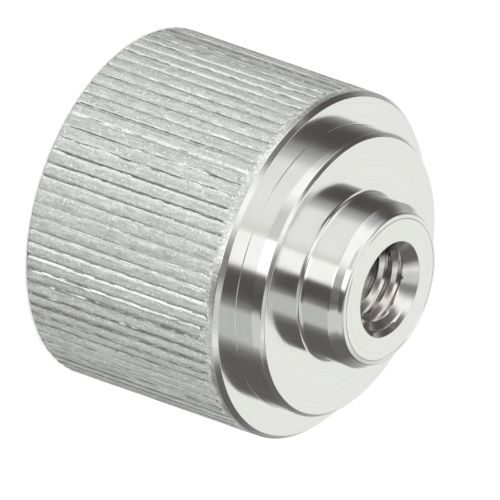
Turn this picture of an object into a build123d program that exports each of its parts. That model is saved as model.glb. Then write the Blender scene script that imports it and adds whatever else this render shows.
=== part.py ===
from build123d import *
import os

os.makedirs("parts", exist_ok=True)

# A thumb nut turned from one stainless bar, in millimetres. It stands on its flat
# rear face, which lies on Z = 0, and its nose points up +Z. The Z axis is the
# axis of the thread.

# Drum that the fingers turn.
crest_radius = 15.90
groove_depth = 0.28
groove_count = 82
groove_mouth = 0.64
groove_end = 19.30
rear_chamfer = 0.30

# Smooth land in front of the knurl, and the drum's front face.
land_radius = 15.875
land_end = 20.32
land_chamfer = 0.40
shoulder_height = land_end + land_chamfer

# Step between the drum and the nose.
step_radius = 12.96
step_height = 23.67
step_chamfer = 0.30

# Nose that carries the mouth of the thread.
nose_radius = 7.55
nose_root_fillet = 0.40
nose_height = 27.95
bevel_width = 0.50
bevel_height = 0.72
rim_radius = 6.45
rim_drop = 0.48

# Tapped hole, drawn at the minor diameter of a 5/16-18 thread.
bore_radius = 3.30
mouth_radius = 4.40
mouth_depth = mouth_radius - bore_radius

root_radius = crest_radius - groove_depth
run_out = land_radius - root_radius

# Half outline of the turned blank, from the axis at the rear face round to the
# nose. The drum is left at the root of the knurl, and the land behind the front
# face rises from it on a cone, which is where the grooves run out.
with BuildPart() as blank:
    with BuildSketch(Plane.XZ):
        with BuildLine():
            drum = Polyline(
                (0, 0),
                (root_radius, 0),
                (root_radius, groove_end),
                (land_radius, groove_end + run_out),
                (land_radius, land_end),
                (land_radius - land_chamfer, shoulder_height),
                (step_radius, shoulder_height),
                (step_radius, step_height - step_chamfer),
                (step_radius - step_chamfer, step_height),
                (nose_radius + nose_root_fillet, step_height),
            )
            root = RadiusArc(
                drum @ 1,
                (nose_radius, step_height + nose_root_fillet),
                nose_root_fillet,
            )
            nose = Polyline(
                root @ 1,
                (nose_radius, nose_height - rim_drop - bevel_height),
                (nose_radius - bevel_width, nose_height - rim_drop),
                (rim_radius, nose_height),
                (0, nose_height),
            )
            Line(nose @ 1, drum @ 0)
        make_face()
    revolve(axis=Axis.Z)

# Straight knurl: a disc with a V groove rolled in at every pitch, drawn out along
# the drum into the cone of the land. Each V is drawn to twice its depth, so it
# opens clear of the crests.
with BuildPart() as knurl:
    with BuildSketch():
        Circle(crest_radius)
        with PolarLocations(crest_radius, groove_count):
            Polygon(
                (-groove_depth, 0),
                (groove_depth, -groove_mouth),
                (groove_depth, groove_mouth),
                align=None,
                mode=Mode.SUBTRACT,
            )
    extrude(amount=groove_end + run_out)

# The rear edge of the knurled disc is broken by a chamfer, so the ridges do not
# end sharp where the nut is picked up.
with BuildPart() as envelope:
    Cylinder(
        crest_radius + 1,
        groove_end + run_out,
        align=(Align.CENTER, Align.CENTER, Align.MIN),
    )
    with BuildSketch(Plane.XZ):
        with BuildLine():
            Polyline(
                (crest_radius - rear_chamfer, 0),
                (crest_radius + 1, 0),
                (crest_radius + 1, rear_chamfer + 1),
                close=True,
            )
        make_face()
    revolve(axis=Axis.Z, mode=Mode.SUBTRACT)

# Tapped hole through the nut, countersunk at the nose and at the rear.
with BuildPart() as hole:
    with BuildSketch(Plane.XZ):
        with BuildLine():
            Polyline(
                (0, -1),
                (mouth_radius + 1, -1),
                (bore_radius, mouth_depth),
                (bore_radius, nose_height - mouth_depth),
                (mouth_radius + 1, nose_height + 1),
                (0, nose_height + 1),
                close=True,
            )
        make_face()
    revolve(axis=Axis.Z)

thumb_nut = (blank.part + (knurl.part & envelope.part)) - hole.part

export_step(thumb_nut, "parts/thumb_nut.step")
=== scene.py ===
import bpy
import numpy as np
from mathutils import Matrix


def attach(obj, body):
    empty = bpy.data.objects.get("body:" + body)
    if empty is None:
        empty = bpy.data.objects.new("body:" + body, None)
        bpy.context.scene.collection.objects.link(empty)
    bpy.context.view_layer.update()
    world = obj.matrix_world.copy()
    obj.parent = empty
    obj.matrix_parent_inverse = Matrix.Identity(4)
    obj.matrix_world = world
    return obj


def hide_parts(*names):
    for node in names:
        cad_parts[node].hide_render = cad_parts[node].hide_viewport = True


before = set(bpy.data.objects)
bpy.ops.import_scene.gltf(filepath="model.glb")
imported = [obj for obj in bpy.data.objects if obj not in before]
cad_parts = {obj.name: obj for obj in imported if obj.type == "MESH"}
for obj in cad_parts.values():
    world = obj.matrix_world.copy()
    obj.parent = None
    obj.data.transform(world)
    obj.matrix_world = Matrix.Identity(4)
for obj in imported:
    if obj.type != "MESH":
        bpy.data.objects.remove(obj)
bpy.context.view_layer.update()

# The drum. One end of a stainless bar, which the fingers turn by the 82 straight
# ridges rolled into it. The grooves fade out short of the front, where a smooth
# land was left, and the front edge is a polished chamfer.
crest_radius = 15.90
crest_limit = crest_radius - 0.006
crest_waver = 0.006
ridge_count = 82
ridge_pitch = 2 * np.pi / ridge_count
groove_depth = 0.14
groove_half_mouth = 0.27
groove_floor_end = 19.20
groove_fade = 0.45
groove_wander = 0.010
groove_unevenness = 0.10
tip_spread = 0.18
skin_roughness = 0.005
lip_roughness = 0.007
burr_height = 0.05
rear_chamfer = 0.30
land_radius = 15.875
land_wall = land_radius - 0.012
land_end = 20.32
land_chamfer = 0.40
face_edge = land_radius - land_chamfer
shoulder_height = land_end + land_chamfer
chance = np.random.default_rng(82)

# The mesh's columns over one pitch, as shares of it, from one groove's middle to the
# next, and its rows from the rear face to the land, closest where the grooves end.
across_ridge = np.array([0.0, 0.07, 0.15, 0.22, 0.5, 0.78, 0.85, 0.93])
drum_turn = ((np.arange(ridge_count)[:, None] + across_ridge) * ridge_pitch).ravel()
tips_start, tips_end = 18.95, 19.75
knurl_height = np.concatenate(
    [
        [0.0, 0.5 * rear_chamfer, rear_chamfer],
        np.linspace(rear_chamfer + 0.12, tips_start - 0.10, 54),
        np.linspace(tips_start, tips_end, 15),
        tips_end + np.array([0.11, 0.23, 0.34, 0.43]),
    ]
)


def waver(rows, columns, every, seed):
    """Smooth chance values of about 1 in size on a grid. Random numbers stand at every
    few rows and at each ridge, and between rows they are joined by half waves."""
    knots = np.random.default_rng(seed).normal(size=(rows // every + 2, columns))
    place = np.arange(rows) / every
    low = place.astype(int)
    part = 0.5 - 0.5 * np.cos(np.pi * (place - low))
    return knots[low] * (1 - part)[:, None] + knots[low + 1] * part[:, None]


def by_ridge(values):
    """A value for each ridge, given to all the columns of that ridge."""
    return np.repeat(values, len(across_ridge), axis=-1)


def hump(value, middle, reach):
    """One where the value is the middle one, falling in a straight line on both sides
    to nothing at the reach and beyond it."""
    return np.clip(1 - np.abs(value - middle) / reach, 0, 1)


def knurled_radius(height, turn):
    """Radius over the knurl, how smooth each point was rolled, and how much painted glint it gets
    at its burrs.
    The distance from the nearest groove's middle, in half mouths, and the distance past
    the end of the groove's floor, in fade lengths, are the sides of a right triangle. The
    groove is as deep as its long side is short of one: a V along the drum, with a rounded
    tip. The burr stands at the lips and round the tips."""
    rows = len(height)
    wander = by_ridge(waver(rows, ridge_count, 9, 1))
    lift = by_ridge(waver(rows, ridge_count, 4, 3))
    size = by_ridge(waver(rows, ridge_count, 12, 4) + chance.normal(size=ridge_count))
    tips = by_ridge(np.clip(chance.normal(size=ridge_count), -1.5, 1.5))

    # The groove, with a floor that is a little flat, and the ridges beside it, which
    # come down to the land past the groove's end.
    uneven = 1 + groove_unevenness * size
    from_groove = (turn / ridge_pitch + 0.5) % 1 - 0.5
    side = from_groove * ridge_pitch * crest_radius + groove_wander * wander
    floor_end = groove_floor_end + tip_spread * tips
    past = np.maximum(height[:, None] - floor_end, 0) / groove_fade
    open_side = np.abs(side) / (groove_half_mouth * uneven)
    from_middle = np.hypot(open_side, past)
    depth = groove_depth * uneven * np.clip(1 - from_middle, 0, 0.94)
    on_ridge = np.clip(1 - past / 1.2, 0, 1)
    top = land_wall + (crest_radius - land_radius + crest_waver * lift) * on_ridge

    # The skin, rougher towards the grooves and calm on the land, with a burr curled up
    # round the tip of a groove.
    near_lip = np.clip(1.4 - open_side, 0, 1)
    ragged = chance.normal(size=(rows, len(turn))) * (skin_roughness + lip_roughness * near_lip)
    rolled_over = np.clip(1.4 - past, 0.15, 1)
    curl = by_ridge(chance.random(ridge_count)) * hump(from_middle, 1.15, 0.3)
    burr = burr_height * curl * np.clip(past / 0.5, 0, 1)
    radius = np.minimum(top - depth + ragged * rolled_over + burr, crest_limit)

    # Smooth in the groove, rough from just outside its lips, and nearly smooth on the land. A
    # painted glint, a whiter colour that stands in for light the burrs catch, is thin along the
    # lips and thick round the tips.
    on_land = 0.8 * np.clip(past - 0.8, 0, 1)
    smooth = np.maximum(np.clip(2.3 - 2 * from_middle, 0, 1), on_land)
    at_lips = 0.3 * hump(from_middle, 1, 0.5)
    torn_glint = 0.6 + 0.4 * chance.random((rows, len(turn)))
    at_tips = torn_glint * np.clip(1.5 - np.abs(past - 1.5), 0, 1)
    return radius, smooth, np.maximum(at_lips, at_tips)


drum_radius, rolled, burr_glint = knurled_radius(knurl_height, drum_turn)
rear_limit = crest_radius - rear_chamfer + knurl_height[:, None]
drum_radius = np.minimum(drum_radius, rear_limit)

wall_strip = 0.02


def rounded(corners):
    """Profile through corners. Each is given as its radius and height, how far it is cut
    back along both sides, and the steps of the arc that joins the two cuts. A curve of
    second degree, with the corner as its middle point, stands for the arc. A narrow strip
    on each side of it lies in the wall, so the wall beyond is shaded as flat as it is."""
    places = np.array([corner[:2] for corner in corners])
    edges = [corner[2:] for corner in corners]
    out = [places[:1]]
    for before, here, after, (cut, steps) in zip(places, places[1:], places[2:], edges[1:]):
        if steps == 0:
            out.append(here[None])
            continue
        back = (before - here) / np.linalg.norm(before - here)
        on = (after - here) / np.linalg.norm(after - here)
        first, last = here + back * cut, here + on * cut
        t = np.linspace(0, 1, steps + 1)[:, None]
        out.append(first[None] + back * wall_strip)
        out.append(first * (1 - t) ** 2 + here * 2 * t * (1 - t) + last * t**2)
        out.append(last[None] + on * wall_strip)
    out.append(places[-1:])
    return np.concatenate(out)


# The skin of the nut as it grows: rows of points, the faces between them, and the
# finish of each face.
points, walls, finishes = [], [], []
knurled, turned, faced, tapped = 0, 1, 2, 3


def rings(radius, height, turn):
    """Adds a ring of points for each radius and height at the angles in turn. Gives the
    points' numbers, row by row, with the first one again at the end."""
    rows = len(height)
    grid = (rows, len(turn))
    radius = np.broadcast_to(np.asarray(radius).reshape(rows, -1), grid)
    height = np.broadcast_to(np.asarray(height).reshape(rows, -1), grid)
    start = sum(len(p) for p in points)
    placed = np.stack([radius * np.cos(turn), radius * np.sin(turn), height], axis=-1)
    points.append(placed.reshape(-1, 3))
    numbers = start + np.arange(radius.size).reshape(grid)
    return np.hstack([numbers, numbers[:, :1]])


def cover(faces, finish):
    """Adds faces that all have one finish."""
    walls.append(faces)
    finishes.append(np.full(len(faces), finish))


def quads_between(numbers):
    """A quad for each two neighbours of a row and those of the next row."""
    around = [numbers[:-1, :-1], numbers[:-1, 1:], numbers[1:, 1:], numbers[1:, :-1]]
    return np.stack(around, axis=-1).reshape(-1, 4)


def skin(numbers, finish):
    """Adds the quads between rows of points."""
    cover(quads_between(numbers), finish)


def gather(fine, coarse, finish, outward=True):
    """Adds triangles from a ring to one with fewer points. Each point of the coarse ring
    takes the near half of the fine ring's steps on either side of it."""
    several = (len(fine) - 1) // (len(coarse) - 1)
    start, end = coarse[:-1, None], coarse[1:, None]
    steps = np.arange(several)
    first = fine[:-1].reshape(-1, several)
    second = fine[1:].reshape(-1, several)
    near = np.where(steps < several // 2, start, end)
    fans = np.stack([first, second, near], axis=-1).reshape(-1, 3)
    middle = first[:, several // 2][:, None]
    joins = np.stack([middle, end, start], axis=-1).reshape(-1, 3)
    triangles = np.concatenate([fans, joins])
    cover(triangles if outward else triangles[:, ::-1], finish)


front_edge = rounded(
    [
        (land_wall, land_end - 0.10, 0, 0),
        (land_wall, land_end, 0.035, 3),
        (face_edge, shoulder_height, 0.035, 3),
        (face_edge - 0.14, shoulder_height, 0, 0),
    ]
)
drum = rings(drum_radius, knurl_height, drum_turn)
edge = rings(front_edge[:, 0], front_edge[:, 1], drum_turn)
skin(drum, knurled)
skin(np.vstack([drum[-1:], edge[:3]]), knurled)
skin(edge[2:], turned)

# The shoulder, the step and the nose. They are turned in front of the drum in the
# same chucking, with polished walls, faces that keep the tool's fine rings, and
# sharp edges only just broken.
step_radius = 12.96
step_height = 23.67
step_chamfer = 0.30
nose_radius = 7.55
nose_root_fillet = 0.40
nose_height = 27.95
bevel_width = 0.50
bevel_height = 0.72
bevel_edge = nose_radius - bevel_width
rim_radius = 6.45
rim_drop = 0.48
mouth_radius = 4.40

# Corners with no cut are plain points in the flats. The nose's rim bulges between
# the bevel and the face, and a hair of a groove parts it from the face.
step_turn = drum_turn[::2]
nose_turn = drum_turn[::4]
shoulder = rounded(
    [
        (face_edge - 0.25, shoulder_height, 0, 0),
        (14.2, shoulder_height, 0, 0),
        (step_radius, shoulder_height, 0.06, 3),
        (step_radius, 22.0, 0, 0),
        (step_radius, step_height - step_chamfer, 0.07, 3),
        (step_radius - step_chamfer, step_height, 0.06, 3),
        (11.0, step_height, 0, 0),
    ]
)
nose = rounded(
    [
        (9.5, step_height, 0, 0),
        (nose_radius, step_height, nose_root_fillet, 8),
        (nose_radius, 25.4, 0, 0),
        (nose_radius, nose_height - rim_drop - bevel_height, 0.06, 4),
        (bevel_edge, nose_height - rim_drop, 0.06, 2),
        (bevel_edge - 0.06, nose_height - 0.27, 0.09, 3),
        (bevel_edge - 0.14, nose_height - 0.07, 0.09, 3),
        (rim_radius + 0.07, nose_height - 0.015, 0, 0),
        (rim_radius + 0.04, nose_height - 0.03, 0, 0),
        (rim_radius, nose_height, 0.01, 2),
        (5.4, nose_height, 0, 0),
        (mouth_radius, nose_height, 0.03, 3),
        (mouth_radius - 0.3, nose_height - 0.3, 0, 0),
    ]
)
step = rings(shoulder[:, 0], shoulder[:, 1], step_turn)
nose_rings = rings(nose[:, 0], nose[:, 1], nose_turn)

# The rows where the finish changes: at the root of the step and of the nose, and at
# the edge of the face in front of each.
step_wall = np.flatnonzero(shoulder[:, 0] <= step_radius + 0.07)[0]
step_face = np.flatnonzero(shoulder[:, 0] < step_radius - step_chamfer - 0.05)[0]
nose_root = np.flatnonzero(nose[:, 1] > step_height)[0] - 1
nose_face = np.flatnonzero(nose[:, 0] < bevel_edge - 0.05)[0]
gather(edge[-1], step[0], faced)
skin(step[: step_wall + 1], faced)
skin(step[step_wall : step_face + 1], turned)
skin(step[step_face:], faced)
gather(step[-1], nose_rings[0], faced)
skin(nose_rings[: nose_root + 1], faced)
skin(nose_rings[nose_root : nose_face + 1], turned)
skin(nose_rings[nose_face:], faced)

# The tapped hole, with a right-handed 5/16-18 thread right through the nut and a
# 45 degree countersink at each end. The flat rear face round it closes the nut.
minor_radius = 3.30
major_radius = 3.969
thread_pitch = 25.4 / 18
crest_place = 0.57
turns = 23
mouth_join = 0.4
join_gap = 0.004

# One turn along the axis, from the middle of a crest: where its corners are, as
# shares of the pitch, and how much of the thread's depth is cut there. A narrow edge
# stands for each corner.
crest_corner, root_corner = 0.125, 0.4375
edge_half = 0.012
corners = np.array([crest_corner, root_corner, 1 - root_corner, 1 - crest_corner])
beside = (corners[:, None] + [-edge_half, edge_half]).ravel()
eased = edge_half / (root_corner - crest_corner)
thread_drop = np.concatenate([[0.0], beside]) * thread_pitch
thread_cut = np.array([0, 0, eased, 1 - eased, 1, 1, 1 - eased, eased, 0])
thread_radius = minor_radius + (major_radius - minor_radius) * thread_cut

bore_turn = drum_turn[::8]
mouth = rings([mouth_radius - mouth_join], [nose_height - mouth_join], bore_turn)
rear = rings([mouth_radius, 7.0], [0.0, 0.0], bore_turn)
rear_face = rings([10.0, 13.0, 15.0], [0.0, 0.0, 0.0], nose_turn)

# The grid of the thread is sheared by its helix, and cut off by the countersinks.
# Points past the mouth's ring and past the rear face are put on those rings.
drops = (np.arange(turns)[:, None] * thread_pitch + thread_drop).ravel()
helix = bore_turn / (2 * np.pi) * thread_pitch
crest_start = nose_height + thread_pitch * (1 + crest_place)
bore_height = crest_start - drops[:, None] + helix
cone = mouth_radius - np.minimum(nose_height - bore_height, bore_height)
bore_radius = np.maximum(np.tile(thread_radius, turns)[:, None], cone)
above = bore_height > nose_height - mouth_join - join_gap
below = bore_height < join_gap
bore = rings(bore_radius, bore_height, bore_turn)[:, :-1]
bore = np.where(above, mouth[0, :-1], np.where(below, rear[0, :-1], bore))

# Once round, the helix has climbed by a pitch, so the grid closes on its first
# column a turn further up. Halves of a quad that shrank to a line are left out.
a_turn = len(thread_drop)
turned_once = np.vstack([np.repeat(mouth[:, :1], a_turn, axis=0), bore[:-a_turn, :1]])
quads = quads_between(np.hstack([bore, turned_once]))
halves = np.concatenate([quads[:, [0, 1, 2]], quads[:, [0, 2, 3]]])
whole = (halves != np.roll(halves, 1, axis=1)).all(axis=1)
gather(nose_rings[-1], mouth[0], faced)
cover(halves[whole], tapped)
skin(rear, faced)
gather(rear_face[0], rear[-1], faced, outward=False)
skin(rear_face, faced)
gather(drum[0], rear_face[-1], faced, outward=False)

# The whole nut is one closed skin, in metres. How smoothly the knurl was rolled, and where its
# burrs get a painted glint, are kept on its points for the finishes.
places = np.concatenate(points) * 0.001
used = np.zeros(len(places), bool)
for wall in walls:
    used[wall.ravel()] = True
renumber = np.cumsum(used) - 1
faces = [face for wall in walls for face in renumber[wall].tolist()]
nut_mesh = bpy.data.meshes.new("turned_nut")
nut_mesh.from_pydata(places[used].tolist(), [], faces)
nut_mesh.polygons.foreach_set("material_index", np.concatenate(finishes).astype(np.int32))
nut_mesh.polygons.foreach_set("use_smooth", np.ones(len(faces), bool))
nut_mesh.set_sharp_from_angle(angle=np.radians(30))
for name, at_drum, elsewhere in (("rolled_smooth", rolled, 0.8), ("burr_glint", burr_glint, 0.5)):
    values = np.full(len(places), elsewhere)
    values[drum[:, :-1]] = at_drum
    layer = nut_mesh.attributes.new(name, "FLOAT", "POINT")
    layer.data.foreach_set("value", values[used].astype(np.float32))
nut_mesh.validate()
nut_mesh.update()
turned_nut = bpy.data.objects.new("turned_nut", nut_mesh)
bpy.context.collection.objects.link(turned_nut)

# The finishes of the one bar. The knurl is dull and mottled on its ridges, bright where the roll
# pressed the grooves, and has painted glints: near-white specks at its real burrs and scattered
# over it, standing in for light they catch. The turned walls, the faces and the thread are bright,
# with the fine rings that each tool left.
streak_relief, grain_relief = 22e-6, 14e-6
polish_relief, facing_relief = 0.4e-6, 0.8e-6


def steel(name):
    """A bare stainless finish, with its nodes, its links, its shader and the place on
    the nut that its patterns read."""
    material = bpy.data.materials.new(name)
    material.use_nodes = True
    nodes, links = material.node_tree.nodes, material.node_tree.links
    surface = nodes["Principled BSDF"]
    surface.inputs["Metallic"].default_value = 1.0
    place = nodes.new("ShaderNodeTexCoord").outputs["Object"]
    return material, nodes, links, surface, place


def noise(nodes, links, place, scale, detail, stretch=(1, 1, 1)):
    """Noise of that many waves to the metre, stretched along the axes."""
    mapping = nodes.new("ShaderNodeMapping")
    mapping.inputs["Scale"].default_value = stretch
    links.new(place, mapping.inputs["Vector"])
    texture = nodes.new("ShaderNodeTexNoise")
    texture.inputs["Scale"].default_value = scale
    texture.inputs["Detail"].default_value = detail
    links.new(mapping.outputs["Vector"], texture.inputs["Vector"])
    return texture.outputs["Fac"]


def spread(nodes, links, value, low, high, to_low, to_high):
    """The value's range from low to high, spread over the other range."""
    reach = nodes.new("ShaderNodeMapRange")
    reach.inputs["From Min"].default_value = low
    reach.inputs["From Max"].default_value = high
    reach.inputs["To Min"].default_value = to_low
    reach.inputs["To Max"].default_value = to_high
    links.new(value, reach.inputs["Value"])
    return reach.outputs["Result"]


def tint(nodes, links, value, dark, light):
    """A mix from the dark to the light colour by the value. Each of them is a colour or
    a socket."""
    mix = nodes.new("ShaderNodeMix")
    mix.data_type = "RGBA"
    links.new(value, mix.inputs["Factor"])
    for name, end in (("A", dark), ("B", light)):
        if isinstance(end, tuple):
            mix.inputs[name].default_value = (*end, 1)
        else:
            links.new(end, mix.inputs[name])
    return mix.outputs["Result"]


def bump(nodes, links, height, depth, normal=None):
    """A bump as deep as that many metres, over another one if that is given."""
    node = nodes.new("ShaderNodeBump")
    node.inputs["Distance"].default_value = depth
    links.new(height, node.inputs["Height"])
    if normal is not None:
        links.new(normal, node.inputs["Normal"])
    return node.outputs["Normal"]


def rings_of_the_tool(nodes, links, place, scale):
    """Noise on the sum of the distance from the axis and the height, so that it makes
    rings on a flat face, on a cylinder and on a bevel alike."""
    flat = nodes.new("ShaderNodeVectorMath")
    flat.operation = "MULTIPLY"
    flat.inputs[1].default_value = (1, 1, 0)
    links.new(place, flat.inputs[0])
    length = nodes.new("ShaderNodeVectorMath")
    length.operation = "LENGTH"
    links.new(flat.outputs["Vector"], length.inputs[0])
    split = nodes.new("ShaderNodeSeparateXYZ")
    links.new(place, split.inputs[0])
    total = nodes.new("ShaderNodeMath")
    total.operation = "ADD"
    links.new(length.outputs["Value"], total.inputs[0])
    links.new(split.outputs["Z"], total.inputs[1])
    texture = nodes.new("ShaderNodeTexNoise")
    texture.noise_dimensions = "1D"
    texture.inputs["Scale"].default_value = scale
    texture.inputs["Detail"].default_value = 3.0
    links.new(total.outputs["Value"], texture.inputs["W"])
    return texture.outputs["Fac"]


def blend(nodes, links, share, low, high):
    """A number that goes from the low to the high one as the share goes from 0 to 1. Each
    of them is a number or a socket."""
    mix = nodes.new("ShaderNodeMix")
    for name, end in (("Factor", share), ("A", low), ("B", high)):
        if isinstance(end, (int, float)):
            mix.inputs[name].default_value = end
        else:
            links.new(end, mix.inputs[name])
    return mix.outputs["Result"]


knurl_steel, nodes, links, surface, place = steel("knurled_stainless")
rolled_layer = nodes.new("ShaderNodeAttribute")
rolled_layer.attribute_name = "rolled_smooth"
smooth = rolled_layer.outputs["Fac"]
burr_glint_layer = nodes.new("ShaderNodeAttribute")
burr_glint_layer.attribute_name = "burr_glint"
streaks = noise(nodes, links, place, 5200, 4, (1, 1, 0.14))
grain = noise(nodes, links, place, 7600, 2, (1, 1, 0.5))
patches = noise(nodes, links, place, 420, 2, (1, 1, 0.35))
glint_scatter = noise(nodes, links, place, 4400, 2, (1, 1, 0.8))
# Painted glints: near-white specks, most at the burrs, in place of light that they catch.
glint_flecks = nodes.new("ShaderNodeMath")
glint_flecks.operation = "MULTIPLY_ADD"
glint_flecks.inputs[1].default_value = 0.14
links.new(burr_glint_layer.outputs["Fac"], glint_flecks.inputs[0])
links.new(glint_scatter, glint_flecks.inputs[2])
glint_specks = spread(nodes, links, glint_flecks.outputs["Value"], 0.64, 0.68, 0, 1)
mottle = spread(nodes, links, blend(nodes, links, 0.4, streaks, grain), 0.36, 0.64, 0, 1)
skin_tone = tint(nodes, links, mottle, (0.47, 0.495, 0.475), (0.80, 0.82, 0.805))
rolled_tone = tint(nodes, links, mottle, (0.67, 0.68, 0.665), (0.87, 0.88, 0.865))
tones = tint(nodes, links, smooth, skin_tone, rolled_tone)
links.new(tint(nodes, links, glint_specks, tones, (0.97, 0.98, 0.96)), surface.inputs["Base Color"])
rough_flat = spread(nodes, links, patches, 0.35, 0.65, 0.44, 0.60)
links.new(blend(nodes, links, smooth, rough_flat, 0.25), surface.inputs["Roughness"])
links.new(blend(nodes, links, smooth, 0.30, 1.0), surface.inputs["Metallic"])
grain_bump = bump(nodes, links, grain, grain_relief)
links.new(bump(nodes, links, streaks, streak_relief, grain_bump), surface.inputs["Normal"])

turned_steel, nodes, links, surface, place = steel("turned_stainless")
tool_rings = rings_of_the_tool(nodes, links, place, 7000)
smears = noise(nodes, links, place, 420, 3)
polish = spread(nodes, links, smears, 0.3, 0.7, 0, 1)
polish_tone = tint(nodes, links, polish, (0.79, 0.79, 0.775), (0.83, 0.83, 0.815))
links.new(polish_tone, surface.inputs["Base Color"])
links.new(spread(nodes, links, tool_rings, 0.3, 0.7, 0.07, 0.10), surface.inputs["Roughness"])
links.new(bump(nodes, links, tool_rings, polish_relief), surface.inputs["Normal"])

faced_steel, nodes, links, surface, place = steel("faced_stainless")
facing_rings = rings_of_the_tool(nodes, links, place, 3600)
clouds = noise(nodes, links, place, 300, 2)
facing = spread(nodes, links, facing_rings, 0.25, 0.75, 0, 1)
facing_tone = tint(nodes, links, facing, (0.78, 0.785, 0.77), (0.82, 0.825, 0.81))
links.new(facing_tone, surface.inputs["Base Color"])
links.new(spread(nodes, links, clouds, 0.3, 0.7, 0.10, 0.15), surface.inputs["Roughness"])
links.new(bump(nodes, links, facing_rings, facing_relief), surface.inputs["Normal"])

tapped_steel, nodes, links, surface, place = steel("tapped_stainless")
surface.inputs["Base Color"].default_value = (0.79, 0.765, 0.75, 1)
tap_rings = rings_of_the_tool(nodes, links, place, 5000)
links.new(spread(nodes, links, tap_rings, 0.3, 0.7, 0.10, 0.17), surface.inputs["Roughness"])
links.new(bump(nodes, links, tap_rings, polish_relief), surface.inputs["Normal"])

for finish in (knurl_steel, turned_steel, faced_steel, tapped_steel):
    nut_mesh.materials.append(finish)
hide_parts("thumb_nut")
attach(turned_nut, "root")

# The floor. A plain white sheet that keeps the nut's soft shadow. What the camera
# sees of it is lifted to white, and the metal doesn't mirror it.
floor_half = 1.5
floor_height = -0.00005
white_lift = 0.42
floor_mesh = bpy.data.meshes.new("floor")
floor_corners = np.array([(-1, -1), (1, -1), (1, 1), (-1, 1)]) * floor_half
floor_mesh.from_pydata([(x, y, floor_height) for x, y in floor_corners], [], [(0, 1, 2, 3)])
floor = bpy.data.objects.new("floor", floor_mesh)
bpy.context.collection.objects.link(floor)
floor.visible_glossy = False
floor_paint = bpy.data.materials.new("white_sheet")
floor_paint.use_nodes = True
nodes, links = floor_paint.node_tree.nodes, floor_paint.node_tree.links
sheet = nodes["Principled BSDF"]
sheet.inputs["Base Color"].default_value = (0.82, 0.82, 0.82, 1)
sheet.inputs["Roughness"].default_value = 0.9
sheet.inputs["Emission Color"].default_value = (1, 1, 1, 1)
seen = nodes.new("ShaderNodeLightPath").outputs["Is Camera Ray"]
lift = nodes.new("ShaderNodeMath")
lift.operation = "MULTIPLY"
lift.inputs[1].default_value = white_lift
links.new(seen, lift.inputs[0])
links.new(lift.outputs["Value"], sheet.inputs["Emission Strength"])
floor_mesh.materials.append(floor_paint)

# The studio. White all round for the camera and the floor. The metal mirrors four
# rings of light and dark panels, one above the other. Upright walls mirror the lowest
# ring, faces the next one, bevels the third and the thread's flanks the highest.
studio = bpy.data.worlds.new("studio")
bpy.context.scene.world = studio
studio.use_nodes = True
nodes, links = studio.node_tree.nodes, studio.node_tree.links
background = nodes["Background"]
look = nodes.new("ShaderNodeTexCoord").outputs["Generated"]
split = nodes.new("ShaderNodeSeparateXYZ")
links.new(look, split.inputs[0])
bearing = nodes.new("ShaderNodeMath")
bearing.operation = "ARCTAN2"
links.new(split.outputs["Y"], bearing.inputs[0])
links.new(split.outputs["X"], bearing.inputs[1])
share = nodes.new("ShaderNodeMath")
share.operation = "MULTIPLY_ADD"
share.inputs[1].default_value = 1 / (2 * np.pi)
share.inputs[2].default_value = 0.5
links.new(bearing.outputs["Value"], share.inputs[0])

white = (1.42, 1.42, 1.42)
bright = (1.14, 1.14, 1.14)
pale = (0.96, 0.965, 0.935)
light = (0.70, 0.71, 0.70)
grey = (0.46, 0.46, 0.46)
dim = (0.28, 0.275, 0.27)
dusk = (0.15, 0.14, 0.136)
dark = (0.105, 0.092, 0.087)
photo_turn = 2.62


def panels(stops):
    """A ring of panels from pairs of a bearing in degrees and a colour, with the colours
    blended from each to the next. The bearings are those in the photograph, where the
    nut is turned by photo_turn."""
    ramp = nodes.new("ShaderNodeValToRGB")
    ring = ramp.color_ramp
    ring.interpolation = "LINEAR"
    placed = sorted((((b - photo_turn + 180) % 360) / 360, c) for b, c in stops)
    while len(ring.elements) < len(placed):
        ring.elements.new(0.5)
    for element, (position, colour) in zip(ring.elements, placed):
        element.position = position
        element.color = (*colour, 1)
    links.new(share.outputs["Value"], ramp.inputs["Fac"])
    return ramp.outputs["Color"]


floor_ring = panels(
    [
        (-106, pale), (-90, pale), (-72, grey), (-58, grey), (-49, dim), (-41, dusk), (-33, dark),
        (-26, dark), (-20, dusk), (-10, grey), (0, light), (11, bright), (32, bright), (40, pale),
        (50, light), (72, light), (75, white), (98, white), (104, dusk), (120, dark), (130, dusk),
        (135, light), (161, light), (168, dim), (176, dusk), (206, dusk), (220, dim), (240, grey),
        (250, light), (258, pale),
    ]
)
low_ring = panels(
    [
        (-114, pale), (-90, pale), (-80, grey), (-68, dim), (-57, dusk), (-49, dark), (-30, dark),
        (-20, dusk), (-9, grey), (0, light), (10, bright), (60, bright), (71, pale), (75, white),
        (98, white), (104, dusk), (109, dark), (123, dark), (132, dim), (136, light), (162, light),
        (169, dim), (180, dusk), (228, dusk), (240, dim), (247, grey), (253, pale),
    ]
)
high_ring = panels(
    [
        (-124, pale), (-70, pale), (-50, dusk), (-6, dusk), (16, dim), (31, pale), (44, bright),
        (60, bright), (70, pale), (86, grey), (98, dim), (113, dim), (127, light), (148, light),
        (160, pale), (174, grey), (184, dim), (200, dusk), (212, dusk),
    ]
)
top_ring = panels(
    [
        (-70, dark), (-55, white), (2, white), (14, dark), (172, dark), (182, light), (192, light),
        (202, dark),
    ]
)


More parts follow.
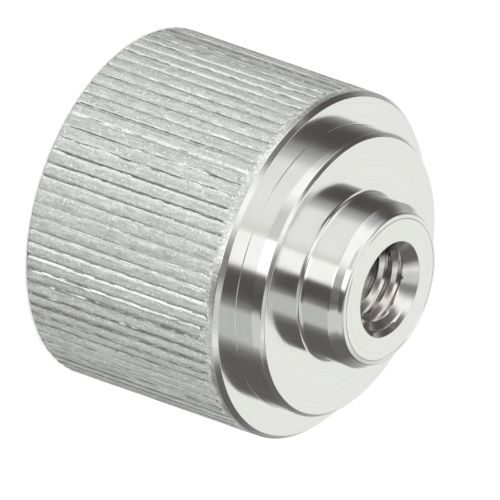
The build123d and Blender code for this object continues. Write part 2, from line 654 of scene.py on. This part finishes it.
def by_height(low, high, below, above):
    """The colour below to that above, between two heights of the look as sines."""
    rise = nodes.new("ShaderNodeMapRange")
    rise.inputs["From Min"].default_value = low
    rise.inputs["From Max"].default_value = high
    links.new(split.outputs["Z"], rise.inputs["Value"])
    mix = nodes.new("ShaderNodeMix")
    mix.data_type = "RGBA"
    links.new(rise.outputs["Result"], mix.inputs["Factor"])
    links.new(below, mix.inputs["A"])
    links.new(above, mix.inputs["B"])
    return mix.outputs["Result"]


walls_seen = by_height(0.0, 0.4, floor_ring, low_ring)
bevels_seen = by_height(0.57, 0.62, walls_seen, high_ring)
flanks_seen = by_height(0.87, 0.89, bevels_seen, top_ring)
mirrored = nodes.new("ShaderNodeMix")
mirrored.data_type = "RGBA"
mirrored.inputs["A"].default_value = (1, 1, 1, 1)
from_metal = nodes.new("ShaderNodeLightPath").outputs["Is Glossy Ray"]
links.new(from_metal, mirrored.inputs["Factor"])
links.new(flanks_seen, mirrored.inputs["B"])
links.new(mirrored.outputs["Result"], background.inputs["Color"])
background.inputs["Strength"].default_value = 1.0

# The photograph's view, from in front of the nose and 31 degrees above its faces,
# rolled until the nut lies on its side.
turn_back = Matrix.Rotation(-np.radians(photo_turn), 4, "Z")
view_axes = Matrix(
    (
        (0.23534, 0.95999, 0.15178, 0.31843),
        (-0.54198, 0.0, 0.84039, 1.76733),
        (0.80676, -0.28004, 0.52030, 1.10722),
        (0, 0, 0, 1),
    )
)
camera_data = bpy.data.cameras.new("camera")
camera_data.lens = 1728
camera_data.sensor_width = 36
camera_data.clip_start = 0.01
camera_data.clip_end = 50
camera = bpy.data.objects.new("camera", camera_data)
bpy.context.collection.objects.link(camera)
camera.matrix_world = turn_back @ view_axes
bpy.context.scene.camera = camera
bpy.context.scene.view_settings.view_transform = "Standard"

# A soft lamp nearly overhead, for the shadow on the sheet.
lamp_data = bpy.data.lights.new("soft_lamp", "AREA")
lamp_data.shape = "SQUARE"
lamp_data.size = 0.35
lamp_data.energy = 0.5
lamp = bpy.data.objects.new("soft_lamp", lamp_data)
bpy.context.collection.objects.link(lamp)
lamp.location = (0.12, 0.10, 1.0)
lamp.rotation_euler = lamp.location.to_track_quat("Z", "Y").to_euler()
